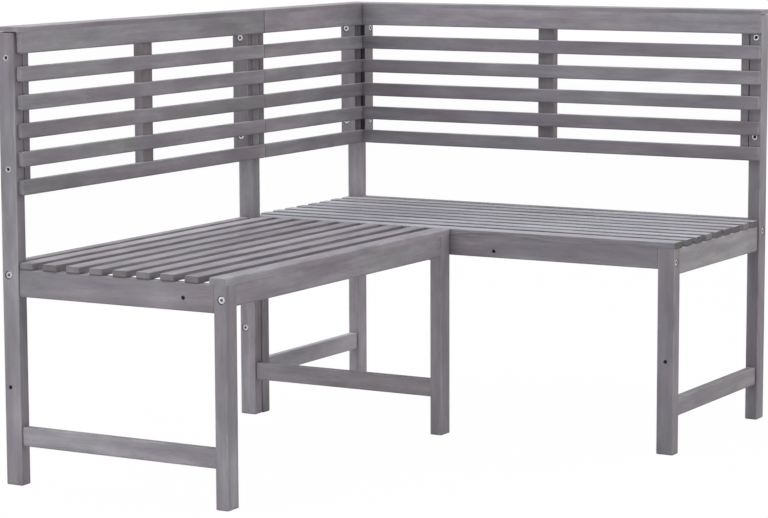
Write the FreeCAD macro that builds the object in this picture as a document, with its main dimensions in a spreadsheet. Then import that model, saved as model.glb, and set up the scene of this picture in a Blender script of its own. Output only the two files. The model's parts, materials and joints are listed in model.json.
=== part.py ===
"""Corner bench of grey-washed hardwood: two slatted benches bolted together in an L, with slatted backs.

The main bench runs along X, from the corner to its open end. The side bench runs along Y, from its open end
to the main bench's front. Each bench has two end frames (rear post, front leg, end rail and stretcher, joined
with tenons), two long rails bolted between them, and a slatted seat. Three back panels stand on the posts: one
behind each bench and a short one that closes the corner.
"""

import FreeCAD, Part
import os
import re

document = FreeCAD.newDocument("corner_bench")
sizes = document.addObject("Spreadsheet::Sheet", "sizes")

# Driving dimensions, in millimetres
DRIVING = (
    ("main_length", 1040, "main bench, end to end"),
    ("main_depth", 487, "main bench, back of the posts to the front of the legs"),
    ("side_length", 884, "side bench, open end to the main bench"),
    ("side_depth", 517, "side bench, back of the posts to the front of the legs"),
    ("seat_height", 443, "floor to the top of the seat"),
    ("back_height", 900, "floor to the top of the back"),
    ("post_wide", 38, "wide face of posts and legs"),
    ("post_thin", 28, "thin face of posts and legs"),
    ("post_round", 2.5, "rounded edges of posts and legs"),
    ("leg_inset", 3, "front legs in from the posts' outer faces"),
    ("end_rail_height", 54, "end rails, depth of section"),
    ("end_rail_thick", 20, "end rails, thickness"),
    ("end_rail_inset", 4, "end rails in from the posts' outer faces"),
    ("front_rail_height", 43, "front rails, depth of section"),
    ("rear_rail_height", 52, "rear rails, depth of section, flush with the seat"),
    ("long_rail_thick", 20, "front and rear rails, thickness"),
    ("front_rail_inset", 1, "front rails in from the legs' front faces"),
    ("rear_rail_inset", 5, "rear rails in from the posts' back faces"),
    ("support_width", 30, "middle seat supports, width"),
    ("support_height", 32, "middle seat supports, depth of section"),
    ("stretcher_height", 38, "stretchers, depth of section"),
    ("stretcher_thick", 18, "stretchers, thickness"),
    ("stretcher_inset", 5, "stretchers in from the posts' outer faces"),
    ("stretcher_lift", 79, "floor to the underside of the stretchers"),
    ("rail_round", 2, "rounded long edges of rails and stretchers"),
    ("tenon_thick", 10, "tenons, thickness"),
    ("tenon_wall", 2, "wood left between a tenon and the front rail's bolt"),
    ("tenon_shoulder", 8, "tenons in from the top and bottom of their rail"),
    ("tenon_room", 0.2, "clearance at the end of a tenon"),
    ("seat_slats", 9, "slats in each seat, the front one wider"),
    ("seat_slat_width", 31, "seat slats, width"),
    ("front_slat_width", 38, "front seat slats, width"),
    ("seat_slat_thick", 14, "seat slats, thickness"),
    ("seat_back_gap", 3, "rear seat slat in front of the posts"),
    ("seat_slat_inset", 2, "seat slats in from the posts' outer faces"),
    ("slat_round", 2, "rounded edges of slats, stiles and caps"),
    ("back_slats", 5, "slats in each back panel, below its top rail"),
    ("back_slat_height", 30, "back slats, height"),
    ("back_slat_thick", 10, "back slats and top rails, thickness"),
    ("back_slat_gap", 25, "gaps between back slats, and under the top rails"),
    ("side_back_inset", 9, "side back's slats in from the open end's outer face"),
    ("main_back_inset", 1, "main back's slats in from the open end's outer face"),
    ("top_rail_height", 42, "top rails of the backs, height"),
    ("cap_thick", 10, "caps, thickness"),
    ("cap_overhang", 2, "caps out past the posts' back faces"),
    ("panel_lap", 8, "side back's slats past the joint post"),
    ("corner_gap", 0.5, "back slats clear of each other at the corner"),
    ("stile_width", 20, "end stiles of the backs, width"),
    ("corner_stile_width", 30, "corner back's stile at the corner post, width"),
    ("middle_stile_width", 40, "middle stiles of the backs, width"),
    ("middle_stile_thick", 20, "middle stiles of the backs, thickness"),
    ("bolt_width", 6, "bolts, shank diameter"),
    ("bolt_room", 0.5, "bolt holes over the bolts"),
    ("head_width", 15, "bolt heads, diameter"),
    ("head_thick", 3, "bolt heads, thickness"),
    ("head_sunk", 0.5, "bolt heads below the surface"),
    ("head_room", 1, "counterbores over the bolt heads"),
    ("socket_width", 5.5, "hex sockets, across corners"),
    ("socket_deep", 2, "hex sockets, depth"),
    ("front_bolt_drop", 28, "top of the front rails to their bolts"),
    ("nut_width", 10, "barrel nuts, diameter"),
    ("nut_length", 14, "barrel nuts, length"),
    ("nut_reach", 30, "barrel nuts in from the rails' ends"),
    ("upper_bolt_drop", 8, "top rails' underside to the upper back bolts"),
    ("lower_bolt_drop", 4, "underside of the last slat but one to the lower back bolts"),
    ("main_back_bolt_out", 10, "main back's bolts in from the posts' back faces"),
    ("insert_width", 12, "threaded inserts, diameter"),
    ("insert_length", 12, "threaded inserts, length"),
    ("insert_bore", 6.2, "threaded inserts, bore"),
    ("joint_rail_in", 97, "bench joint's upper bolt in from the side bench's front"),
    ("joint_rail_drop", 29, "top of the rails to the bench joint's upper bolt"),
    ("joint_post_out", 13, "bench joint's lower bolt in from the side bench's back"),
    ("joint_post_lift", 195, "floor to the bench joint's lower bolt"),
    ("spare_width", 8.5, "spare holes for joining on the other hand, diameter"),
    ("spare_post_out", 14, "spare hole of the side bench's end post in from its back"),
    ("screw_width", 4, "slat screws, shank diameter"),
    ("screw_head_width", 8, "slat screws, head diameter"),
    ("screw_head_thick", 3, "slat screws, head thickness"),
    ("screw_cover", 4, "slat left in front of a screw's tip"),
)
for row, (alias, value, meaning) in enumerate(DRIVING, start=1):
    sizes.set(f"A{row}", meaning)
    sizes.set(f"B{row}", str(value))
    sizes.setAlias(f"B{row}", alias)
document.recompute()

# Lengths that follow from the driving dimensions
WHOLE = "(main_depth + side_length)"
MIDDLE_X = "((main_length - cap_overhang) / 2)"
MIDDLE_Y = f"(({WHOLE} - cap_overhang) / 2)"
POST_TOP = "(back_height - cap_thick)"
RAIL_TOP = "(seat_height - seat_slat_thick)"
BACK_FRONT = "(post_wide + back_slat_thick)"
BOLT_HOLE = "(bolt_width + bolt_room)"
TOP_RAIL_LOW = f"({POST_TOP} - top_rail_height)"
SLAT_PITCH = "(back_slat_height + back_slat_gap)"
BACK_LOW = f"({TOP_RAIL_LOW} - back_slats * {SLAT_PITCH})"
BOLT_LIFTS = (
    f"({TOP_RAIL_LOW} - upper_bolt_drop)",
    f"({TOP_RAIL_LOW} - (back_slats - 1) * {SLAT_PITCH} - lower_bolt_drop)",
)
TENON_LENGTH = f"(post_thin - front_rail_inset - long_rail_thick / 2 - {BOLT_HOLE} / 2 - tenon_wall)"
JOINT_RAIL_OUT = "(side_depth - joint_rail_in)"
JOINT_RAIL_LIFT = f"({RAIL_TOP} - joint_rail_drop)"

# Each bench's own directions: "along" runs down its length and "out" from its back to its front.
# The main bench starts at the corner, the side bench at its open end, and the corner back carries on from it.
BENCHES = {
    "main": ("main_length", "main_depth", ("corner", "end")),
    "side": ("side_length", "side_depth", ("end", "joint")),
}
NODES = {}


def cells(text):
    """A formula in plain words, with each word turned into its cell of the sheet."""
    return re.sub(r"[a-z][a-z_]+", lambda word: "sizes." + word.group(), text)


def point(bench, along, out, lift):
    """A place on a bench, in the part's frame, which is centred on the floor under the whole bench."""
    if bench == "main":
        return (f"({along}) - {MIDDLE_X}", f"{MIDDLE_Y} - ({out})", f"{lift}")
    return (f"({out}) - {MIDDLE_X}", f"({along}) - {WHOLE} + {MIDDLE_Y}", f"{lift}")


def direction(bench, way):
    """The part's own direction for a bench's +along, -along, +out or -out."""
    turns = {
        "main": {"+along": (1, 0, 0), "-along": (-1, 0, 0), "+out": (0, -1, 0), "-out": (0, 1, 0)},
        "side": {"+along": (0, 1, 0), "-along": (0, -1, 0), "+out": (1, 0, 0), "-out": (-1, 0, 0)},
    }
    return FreeCAD.Vector(*turns[bench][way])


def put_at(piece, place):
    """Binds a piece's place to the sheet."""
    for axis, formula in zip("xyz", place):
        piece.setExpression(f"Placement.Base.{axis}", cells(formula))


def block(name, bench, along, out, lift):
    """A plain block between two stops in each of a bench's directions."""
    (along_low, along_high), (out_low, out_high), (low, high) = along, out, lift
    box = document.addObject("Part::Box", name)
    stretch = f"({along_high}) - ({along_low})"
    depth = f"({out_high}) - ({out_low})"
    if bench == "main":
        put_at(box, point(bench, along_low, out_high, low))
        spans = (stretch, depth, f"({high}) - ({low})")
    else:
        put_at(box, point(bench, along_low, out_low, low))
        spans = (depth, stretch, f"({high}) - ({low})")
    for size, formula in zip(("Length", "Width", "Height"), spans):
        box.setExpression(size, cells(formula))
    box.recompute()
    return box


def rounded(name, box, radius, lengthwise=False):
    """The block with its edges rounded, all of them or only those along its length."""
    spans = (box.Length.Value, box.Width.Value, box.Height.Value)
    wall_share = 0.45
    radius = min(radius, wall_share * min(spans))
    longest = spans.index(max(spans))
    chosen = []
    for number, edge in enumerate(box.Shape.Edges, start=1):
        run = edge.Vertexes[1].Point - edge.Vertexes[0].Point
        if not lengthwise or abs(run[longest]) > wall_share * spans[longest]:
            chosen.append((number, radius, radius))
    fillet = document.addObject("Part::Fillet", name)
    fillet.Base = box
    fillet.Edges = chosen
    return fillet


def rod(name, place, way, width, length):
    """A round rod or drill that starts at a place and runs one way."""
    cylinder = document.addObject("Part::Cylinder", name)
    turn = FreeCAD.Rotation(FreeCAD.Vector(0, 0, 1), way)
    cylinder.Placement = FreeCAD.Placement(FreeCAD.Vector(), turn)
    put_at(cylinder, place)
    cylinder.setExpression("Radius", cells(f"({width}) / 2"))
    cylinder.setExpression("Height", cells(length))
    return cylinder


def joined(name, pieces):
    """Several shapes made one."""
    if len(pieces) == 1:
        return pieces[0]
    fuse = document.addObject("Part::MultiFuse", name)
    fuse.Shapes = pieces
    return fuse


def without(name, piece, cuts):
    """A piece with holes and mortises taken out of it."""
    if not cuts:
        return piece
    cut = document.addObject("Part::Cut", name)
    cut.Base = piece
    cut.Tool = joined(name + "_cuts", cuts)
    return cut


def group(name, pieces):
    """Like pieces that share one node, each a solid of its own."""
    compound = document.addObject("Part::Compound", name)
    compound.Links = pieces
    return compound


def keep(node, piece):
    """Names a finished piece for its file."""
    piece.Label = node
    NODES[node] = piece


# Fasteners: each one brings its own hole to the pieces that it passes through
bolts = []
barrel_nuts = []
inserts = []
slat_screws = []


def shifted(bench, along, out, lift, way, distance):
    """A place moved one way along a bench."""
    sign = way[0]
    if way[1:] == "along":
        return (bench, f"({along}) {sign} ({distance})", out, lift)
    return (bench, along, f"({out}) {sign} ({distance})", lift)


def bolt(name, spot, way, length):
    """A flat-headed bolt with a hex socket, driven from a surface, and the counterbored hole that it needs."""
    bench = spot[0]
    heading = direction(bench, way)
    top = point(*shifted(*spot, way, "head_sunk"))
    shank = rod(name + "_shank", top, heading, "bolt_width", f"head_thick + ({length}) - head_sunk")
    head = rod(name + "_head", top, heading, "head_width", "head_thick")
    socket = document.addObject("Part::Prism", name + "_socket")
    socket.Polygon = 6
    turn = FreeCAD.Rotation(FreeCAD.Vector(0, 0, 1), heading)
    socket.Placement = FreeCAD.Placement(FreeCAD.Vector(), turn)
    put_at(socket, top)
    socket.setExpression("Circumradius", cells("socket_width / 2"))
    socket.setExpression("Height", cells("socket_deep"))
    bolts.append(without(name, joined(name + "_body", [shank, head]), [socket]))
    hole = rod(name + "_hole", point(*spot), heading, BOLT_HOLE, f"head_thick + ({length})")
    sink = rod(name + "_sink", point(*spot), heading, "head_width + head_room", "head_sunk + head_thick")
    return joined(name + "_drill", [hole, sink])


def insert(name, spot, way):
    """A threaded insert let into a surface, flush, and the hole that it sits in."""
    place, heading = point(*spot), direction(spot[0], way)
    body = rod(name + "_body", place, heading, "insert_width", "insert_length")
    bore = rod(name + "_bore", place, heading, "insert_bore", "insert_length")
    inserts.append(without(name, body, [bore]))
    return rod(name + "_seat", place, heading, "insert_width", "insert_length")


def spare_hole(name, spot, way, length):
    """An open hole for bolting the benches together on the other hand."""
    return rod(name, point(*spot), direction(spot[0], way), "spare_width", length)


# The bolts that join the two benches, and the spare holes that make the bench reversible
TO_MAIN = "end_rail_inset + front_rail_inset"
rail_joint_spot = ("side", "side_length - end_rail_inset - end_rail_thick", JOINT_RAIL_OUT, JOINT_RAIL_LIFT)
rail_joint_reach = f"end_rail_thick + {TO_MAIN} + insert_length - head_thick"
rail_joint_drill = bolt("rail_joint_bolt", rail_joint_spot, "+along", rail_joint_reach)
rail_joint_seat = insert(
    "rail_joint_insert", ("main", JOINT_RAIL_OUT, "main_depth - front_rail_inset", JOINT_RAIL_LIFT), "-out"
)
post_joint_spot = ("side", "side_length - post_thin", "joint_post_out", "joint_post_lift")
post_joint_reach = "post_thin + insert_length - head_thick"
post_joint_drill = bolt("post_joint_bolt", post_joint_spot, "+along", post_joint_reach)
post_joint_seat = insert(
    "post_joint_insert", ("main", "joint_post_out", "main_depth", "joint_post_lift"), "-out"
)
EXTRA_CUTS = {
    "side_joint_rail": [rail_joint_drill],
    "main_front_rail": [
        rail_joint_seat,
        spare_hole(
            "front_rail_spare",
            ("main", f"main_length - {JOINT_RAIL_OUT}", "main_depth - front_rail_inset", JOINT_RAIL_LIFT),
            "-out",
            "long_rail_thick",
        ),
    ],
    "side_joint_post": [post_joint_drill],
    "main_corner_leg": [post_joint_seat],
    "side_end_rail": [
        spare_hole(
            "end_rail_spare",
            ("side", "end_rail_inset", JOINT_RAIL_OUT, JOINT_RAIL_LIFT),
            "+along",
            "end_rail_thick",
        )
    ],
    "main_end_leg": [
        spare_hole(
            "end_leg_spare",
            ("main", "main_length - leg_inset - post_wide / 2", "main_depth", "joint_post_lift"),
            "-out",
            "post_thin",
        )
    ],
    "side_end_post": [
        spare_hole(
            "end_post_spare", ("side", "0", "spare_post_out", "joint_post_lift"), "+along", "post_thin"
        )
    ],
}


def extra(node):
    """The further holes that a node has."""
    return EXTRA_CUTS.setdefault(node, [])


# The back panels' bolts run through the end stiles into threaded inserts in the posts
MID_POST = "post_wide / 2"
SIDE_LAST_STILE = "side_length - post_thin - stile_width"
MAIN_LAST_STILE = "main_length - post_thin - stile_width"
CORNER_STILE = f"{WHOLE} - post_wide - corner_stile_width"
FIRST_STILE_END = "post_thin + stile_width"
BACK_BOLTS = (
    ("side_back_end_stile", "side_end_post", "side", FIRST_STILE_END, "-along", MID_POST),
    ("side_back_joint_stile", "side_joint_post", "side", SIDE_LAST_STILE, "+along", MID_POST),
    ("corner_back_joint_stile", "side_joint_post", "side", "side_length + stile_width", "-along", MID_POST),
    ("corner_back_corner_stile", "main_corner_post", "side", CORNER_STILE, "+along", "post_thin / 2"),
    ("main_back_corner_stile", "main_corner_post", "main", FIRST_STILE_END, "-along", "main_back_bolt_out"),
    ("main_back_end_stile", "main_end_post", "main", MAIN_LAST_STILE, "+along", "main_back_bolt_out"),
)
for stile, post, bench, along, way, out in BACK_BOLTS:
    width = "corner_stile_width" if stile == "corner_back_corner_stile" else "stile_width"
    for rank, lift in enumerate(BOLT_LIFTS, start=1):
        spot = (bench, along, out, lift)
        drill = bolt(f"{stile}_bolt_{rank}", spot, way, f"{width} + insert_length - head_thick")
        seat = insert(f"{stile}_insert_{rank}", shifted(*spot, way, width), way)
        extra(stile).append(drill)
        extra(post).append(seat)

# The spare inserts in the two open-end posts, where the corner back fits on the other hand
for rank, lift in enumerate(BOLT_LIFTS, start=1):
    side_spot = ("side", "0", MID_POST, lift)
    main_spot = ("main", "main_length - post_thin / 2", "post_wide", lift)
    extra("side_end_post").append(insert(f"side_spare_insert_{rank}", side_spot, "+along"))
    extra("main_end_post").append(insert(f"main_spare_insert_{rank}", main_spot, "-out"))


def tenoned_rail(node, bench, along, out, lift):
    """A rail from post to leg with a tenon at each end, and the mortise that each tenon sits in."""
    blank = block(node + "_blank", bench, along, out, lift)
    bar = rounded(node + "_bar", blank, sizes.rail_round, lengthwise=True)
    middle = f"(({along[0]}) + ({along[1]})) / 2"
    sides = (f"{middle} - tenon_thick / 2", f"{middle} + tenon_thick / 2")
    heights = (f"({lift[0]}) + tenon_shoulder", f"({lift[1]}) - tenon_shoulder")
    rear = (f"({out[0]}) - {TENON_LENGTH}", f"({out[0]}) + {TENON_LENGTH}")
    front = (f"({out[1]}) - {TENON_LENGTH}", f"({out[1]}) + {TENON_LENGTH}")
    tenons = [
        block(f"{node}_rear_tenon", bench, sides, rear, heights),
        block(f"{node}_front_tenon", bench, sides, front, heights),
    ]
    rear_room = (f"{rear[0]} - tenon_room", out[0])
    front_room = (out[1], f"{front[1]} + tenon_room")
    mortises = (
        block(f"{node}_rear_mortise", bench, sides, rear_room, heights),
        block(f"{node}_front_mortise", bench, sides, front_room, heights),
    )
    keep(node, without(node, joined(node + "_whole", [bar] + tenons), EXTRA_CUTS.get(node, [])))
    return mortises


def long_rail(node, bench, ends, out, lift, bolt_lift, carriers, starts):
    """A rail bolted between two posts or legs, with a barrel nut near each end."""
    cuts = list(EXTRA_CUTS.get(node, []))
    middle = f"(({out[0]}) + ({out[1]})) / 2"
    for carrier, start, stop, way, back in zip(carriers, starts, ends, ("+along", "-along"), ("-", "+")):
        reach = f"({stop}) - ({start})" if way == "+along" else f"({start}) - ({stop})"
        length = f"{reach} + nut_reach + nut_width - head_thick"
        drill = bolt(f"{carrier}_{node}_bolt", (bench, start, middle, bolt_lift), way, length)
        extra(carrier).append(drill)
        across = f"({stop}) {'+' if way == '+along' else '-'} nut_reach"
        nut_place = point(bench, across, f"{middle} - nut_length / 2", bolt_lift)
        heading = direction(bench, "+out")
        nut = rod(f"{carrier}_{node}_nut_body", nut_place, heading, "nut_width", "nut_length")
        thread = rod(
            f"{carrier}_{node}_nut_thread",
            point(bench, f"{across} {back} nut_width", middle, bolt_lift),
            direction(bench, way),
            "insert_bore",
            "nut_width * 2",
        )
        barrel_nuts.append(without(f"{carrier}_{node}_nut", nut, [thread]))
        seat_place = point(bench, across, out[0], bolt_lift)
        seat_length = f"({middle}) + nut_length / 2 - ({out[0]})"
        cuts.append(drill)
        cuts.append(rod(f"{carrier}_{node}_nut_seat", seat_place, heading, "nut_width", seat_length))
    blank = block(node + "_blank", bench, ends, out, lift)
    keep(node, without(node, rounded(node + "_bar", blank, sizes.rail_round, lengthwise=True), cuts))


# The two benches
supports = []
for bench, (length, depth, ends) in BENCHES.items():
    # End rails and stretchers, tenoned into the rear post and the front leg of their end frame
    between = ("post_wide", f"{depth} - post_thin")
    end_mortises = []
    for end, from_start in zip(ends, (True, False)):
        def across(inset, thick):
            """A rail's stops along the bench, in from this end."""
            if from_start:
                return (inset, f"{inset} + {thick}")
            return (f"{length} - {inset} - {thick}", f"{length} - {inset}")

        end_rail_lift = (f"{RAIL_TOP} - end_rail_height", RAIL_TOP)
        stretcher_lift = ("stretcher_lift", "stretcher_lift + stretcher_height")
        rail_along = across("end_rail_inset", "end_rail_thick")
        stretcher_along = across("stretcher_inset", "stretcher_thick")
        rail_cuts = tenoned_rail(f"{bench}_{end}_rail", bench, rail_along, between, end_rail_lift)
        stretcher_cuts = tenoned_rail(
            f"{bench}_{end}_stretcher", bench, stretcher_along, between, stretcher_lift
        )
        extra(f"{bench}_{end}_post").extend([rail_cuts[0], stretcher_cuts[0]])
        extra(f"{bench}_{end}_leg").extend([rail_cuts[1], stretcher_cuts[1]])

    # Front and rear rails, bolted between the end frames
    legs = [f"{bench}_{end}_leg" for end in ends]
    posts = [f"{bench}_{end}_post" for end in ends]
    leg_stops = ("leg_inset + post_wide", f"{length} - leg_inset - post_wide")
    post_stops = ("post_thin", f"{length} - post_thin")
    front_out = (f"{depth} - front_rail_inset - long_rail_thick", f"{depth} - front_rail_inset")
    rear_out = ("rear_rail_inset", "rear_rail_inset + long_rail_thick")
    long_rail(
        f"{bench}_front_rail",
        bench,
        leg_stops,
        front_out,
        (f"{RAIL_TOP} - front_rail_height", RAIL_TOP),
        f"{RAIL_TOP} - front_bolt_drop",
        legs,
        ("leg_inset", f"{length} - leg_inset"),
    )
    long_rail(
        f"{bench}_rear_rail",
        bench,
        post_stops,
        rear_out,
        ("seat_height - rear_rail_height", "seat_height"),
        "seat_height - rear_rail_height / 2",
        posts,
        ("0", length),
    )
    middle = (f"{length} / 2 - support_width / 2", f"{length} / 2 + support_width / 2")
    support_lift = (f"{RAIL_TOP} - support_height", RAIL_TOP)
    support_out = (rear_out[1], front_out[0])
    supports.append(block(f"{bench}_seat_support", bench, middle, support_out, support_lift))

    # Rear posts and front legs
    for end, from_start in zip(ends, (True, False)):
        post_along = ("0", "post_thin") if from_start else (f"{length} - post_thin", length)
        leg_along = ("leg_inset", leg_stops[0]) if from_start else (leg_stops[1], f"{length} - leg_inset")
        uprights = (
            (f"{bench}_{end}_post", post_along, ("0", "post_wide"), POST_TOP),
            (f"{bench}_{end}_leg", leg_along, (f"{depth} - post_thin", depth), RAIL_TOP),
        )
        for node, along, out, top in uprights:
            blank = block(node + "_blank", bench, along, out, ("0", top))
            keep(node, without(node, rounded(node + "_bar", blank, sizes.post_round), EXTRA_CUTS[node]))

    # Seat slats, from the rear one to the wider front one
    count = int(sizes.seat_slats)
    room = f"({depth} - post_wide - seat_back_gap - front_slat_width - {count - 1} * seat_slat_width)"
    pitch = f"(seat_slat_width + {room} / {count - 1})"
    slat_along = ("seat_slat_inset", f"{length} - seat_slat_inset")
    for number in range(count):
        width = "front_slat_width" if number == count - 1 else "seat_slat_width"
        rear_edge = f"post_wide + seat_back_gap + {number} * {pitch}"
        slat_out = (rear_edge, f"{rear_edge} + {width}")
        node = f"{bench}_seat_slat_{number + 1}"
        blank = block(node + "_blank", bench, slat_along, slat_out, (RAIL_TOP, "seat_height"))
        keep(node, rounded(node, blank, sizes.slat_round))
keep("seat_supports", group("seat_supports", supports))


def stile(node, bench, along, out):
    """An upright of a back panel, from the lowest slat to under the cap, with its bolt holes."""
    blank = block(node + "_blank", bench, along, out, (BACK_LOW, POST_TOP))
    return rounded(node + "_bar", blank, sizes.slat_round)


def back_panel(name, bench, run, stiles):
    """A back panel: a wide top rail and like slats, screwed from behind to two or three upright stiles."""
    faces = ("post_wide", BACK_FRONT)
    slats = []
    screws = {}
    count = int(sizes.back_slats)
    heights = [(f"{BACK_LOW} + {rank} * {SLAT_PITCH}", "back_slat_height") for rank in range(count)]
    heights.append((TOP_RAIL_LOW, "top_rail_height"))
    for rank, (low, height) in enumerate(heights):
        for node, along, out, screw_along in stiles:
            spot = (bench, screw_along, out[0], f"{low} + {height} / 2")
            mark = f"{node}_screw_{rank + 1}"
            depth = f"({out[1]}) - ({out[0]}) + back_slat_thick - screw_cover"
            heading = direction(bench, "+out")
            parts = [
                rod(mark + "_shank", point(*spot), heading, "screw_width", depth),
                rod(mark + "_head", point(*spot), heading, "screw_head_width", "screw_head_thick"),
            ]
            screw = joined(mark, parts)
            slat_screws.append(screw)
            screws.setdefault(node, []).append(screw)
            screws.setdefault(rank, []).append(screw)
        bar = f"{name}_bar_{rank + 1}"
        blank = block(bar + "_blank", bench, run, faces, (low, f"{low} + {height}"))
        slats.append(without(bar, rounded(bar + "_round", blank, sizes.slat_round), screws[rank]))
    keep(f"{name}_top_rail", slats.pop())
    keep(f"{name}_slats", group(f"{name}_slats", slats))
    for node, along, out, screw_along in stiles:
        keep(node, without(node, stile(node, bench, along, out), EXTRA_CUTS.get(node, []) + screws[node]))


def cap(name, bench, along):
    """The flat board that covers a panel's top rail and the tops of the posts."""
    out = ("0 - cap_overhang", BACK_FRONT)
    blank = block(name + "_blank", bench, along, out, (POST_TOP, "back_height"))
    keep(name, rounded(name, blank, sizes.slat_round))


# The three backs
FULL_OUT = ("0", "post_wide")
FLAT_OUT = ("post_wide - middle_stile_thick", "post_wide")
JOINT = "side_length + panel_lap"


SIDE_BACK_MIDDLE = f"((side_back_inset + {JOINT}) / 2)"
MAIN_BACK_MIDDLE = "(main_length / 2)"


def middle_stile(middle):
    """The stops of a stile at the middle of a back."""
    return (f"{middle} - middle_stile_width / 2", f"{middle} + middle_stile_width / 2")


first_stile = ("post_thin", FIRST_STILE_END)
side_last_stile = (SIDE_LAST_STILE, "side_length - post_thin")
main_last_stile = (MAIN_LAST_STILE, "main_length - post_thin")
corner_stile = (CORNER_STILE, f"{WHOLE} - post_wide")
back_panel(
    "side_back",
    "side",
    ("side_back_inset", JOINT),
    (
        ("side_back_end_stile", first_stile, FULL_OUT, "post_thin + stile_width / 2"),
        ("side_back_middle_stile", middle_stile(SIDE_BACK_MIDDLE), FLAT_OUT, SIDE_BACK_MIDDLE),
        ("side_back_joint_stile", side_last_stile, FULL_OUT, "side_length - post_thin - stile_width / 2"),
    ),
)
back_panel(
    "corner_back",
    "side",
    (JOINT, f"{WHOLE} - {BACK_FRONT} - corner_gap"),
    (
        (
            "corner_back_joint_stile",
            ("side_length", "side_length + stile_width"),
            FULL_OUT,
            "side_length + (panel_lap + stile_width) / 2",
        ),
        (
            "corner_back_corner_stile",
            corner_stile,
            FULL_OUT,
            f"{WHOLE} - post_wide - (corner_stile_width + back_slat_thick) / 2",
        ),
    ),
)
back_panel(
    "main_back",
    "main",
    ("post_wide + corner_gap", "main_length - main_back_inset"),
    (
        (
            "main_back_corner_stile",
            first_stile,
            FULL_OUT,
            "(post_wide + post_thin + stile_width) / 2",
        ),
        ("main_back_middle_stile", middle_stile(MAIN_BACK_MIDDLE), FLAT_OUT, MAIN_BACK_MIDDLE),
        ("main_back_end_stile", main_last_stile, FULL_OUT, "main_length - post_thin - stile_width / 2"),
    ),
)
cap("side_back_cap", "side", ("0", JOINT))
cap("corner_back_cap", "side", (JOINT, f"{WHOLE} - {BACK_FRONT}"))
cap("main_back_cap", "main", ("0 - cap_overhang", "main_length"))

# The fasteners, each kind in one node
keep("hex_socket_bolts", group("hex_socket_bolts", bolts))
keep("barrel_nuts", group("barrel_nuts", barrel_nuts))
keep("threaded_inserts", group("threaded_inserts", inserts))
keep("slat_screws", group("slat_screws", slat_screws))

document.recompute()
for item in document.Objects:
    if "Invalid" in item.State or "Error" in item.State:
        raise RuntimeError(f"{item.Label} failed to build: {item.State}")
for node, piece in NODES.items():
    if piece.Shape.isNull() or not piece.Shape.isValid() or not piece.Shape.Solids:
        raise RuntimeError(f"{node} has no valid solid")

os.makedirs("parts", exist_ok=True)
for node, piece in NODES.items():
    piece.Shape.exportStep(f"parts/{node}.step")
print(len(NODES), "nodes,", sum(len(piece.Shape.Solids) for piece in NODES.values()), "solids")
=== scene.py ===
import json
import math

import bmesh
import bpy
import numpy as np
from mathutils import Matrix, Vector


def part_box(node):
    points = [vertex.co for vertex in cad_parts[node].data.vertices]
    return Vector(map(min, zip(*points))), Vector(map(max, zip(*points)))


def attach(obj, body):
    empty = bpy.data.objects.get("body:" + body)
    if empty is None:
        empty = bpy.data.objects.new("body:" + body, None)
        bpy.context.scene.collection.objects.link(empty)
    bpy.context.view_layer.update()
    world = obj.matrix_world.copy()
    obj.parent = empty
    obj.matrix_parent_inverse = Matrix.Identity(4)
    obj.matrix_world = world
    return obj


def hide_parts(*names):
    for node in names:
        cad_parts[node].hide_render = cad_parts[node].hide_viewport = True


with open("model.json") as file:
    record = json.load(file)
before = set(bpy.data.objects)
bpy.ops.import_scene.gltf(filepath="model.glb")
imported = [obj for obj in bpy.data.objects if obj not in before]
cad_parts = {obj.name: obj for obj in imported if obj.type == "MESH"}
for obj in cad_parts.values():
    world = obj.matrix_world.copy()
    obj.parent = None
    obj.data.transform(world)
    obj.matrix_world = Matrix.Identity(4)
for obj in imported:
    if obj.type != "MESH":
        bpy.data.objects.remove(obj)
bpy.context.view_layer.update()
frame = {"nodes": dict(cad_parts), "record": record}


# Rear posts
# Four square-sawn acacia posts, rounded along their edges and sunk for the bolt heads.
# They stand on the floor, carry the seat rails and the back panels, and end under the caps.
MM = 0.001
POST_ROUNDING = 2.5 * MM
ROUNDING_STEPS = 4
CAP_GAP = 1.2 * MM
BOLT_HEAD_REACH = 5 * MM
BOLT_SINK_RADIUS = 8.4 * MM
BOLT_SINK_DEPTH = 3.2 * MM
INSERT_HOLE_RADIUS = 6.02 * MM
SINK_LEAD = 2 * MM
INSERT_LEAD = 1 * MM
SPARE_HOLE_LEAD = 3 * MM
HOLE_SIDES = 32
WELD_REACH = 0.002 * MM
SHARP_ANGLE = math.radians(40)
FACING = 0.8
RUBBED_SHARE = 0.85
GRAIN_SHIFT = (2, 40)
SIDES = {
    "left": (-1, 0, 0),
    "right": (1, 0, 0),
    "front": (0, -1, 0),
    "rear": (0, 1, 0),
    "bottom": (0, 0, -1),
}
# Every board takes painted shade on its underside, unless it lists its own shaded sides.
UNDERSIDE_SHADE = {"bottom": 1.0}
# A board that sits on another counts its height from this far below, so it takes no painted shade along
# its bottom.
BUTT_RISE = 10 * MM
FRAME_END_STAIN = 0.3
POST_PLANKS = 2526


def paint(red, green, blue):
    """A colour in screen steps of 0 to 255, as the linear values that a shader takes."""
    steps = (red / 255, green / 255, blue / 255)
    linear = [s / 12.92 if s <= 0.04045 else ((s + 0.055) / 1.055) ** 2.4 for s in steps]
    return (*linear, 1.0)


def add(tree, kind, **settings):
    """A new node in the tree, with its settings."""
    node = tree.nodes.new(kind)
    for label, value in settings.items():
        setattr(node, label, value)
    return node


def feed(tree, source, socket):
    """Links an output to a socket, or writes a plain value on it."""
    if isinstance(source, bpy.types.NodeSocket):
        tree.links.new(source, socket)
    else:
        socket.default_value = source


def reckon(tree, operation, first, second, clamp=False):
    """One step of arithmetic on two values."""
    node = add(tree, "ShaderNodeMath", operation=operation, use_clamp=clamp)
    feed(tree, first, node.inputs[0])
    feed(tree, second, node.inputs[1])
    return node.outputs[0]


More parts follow.
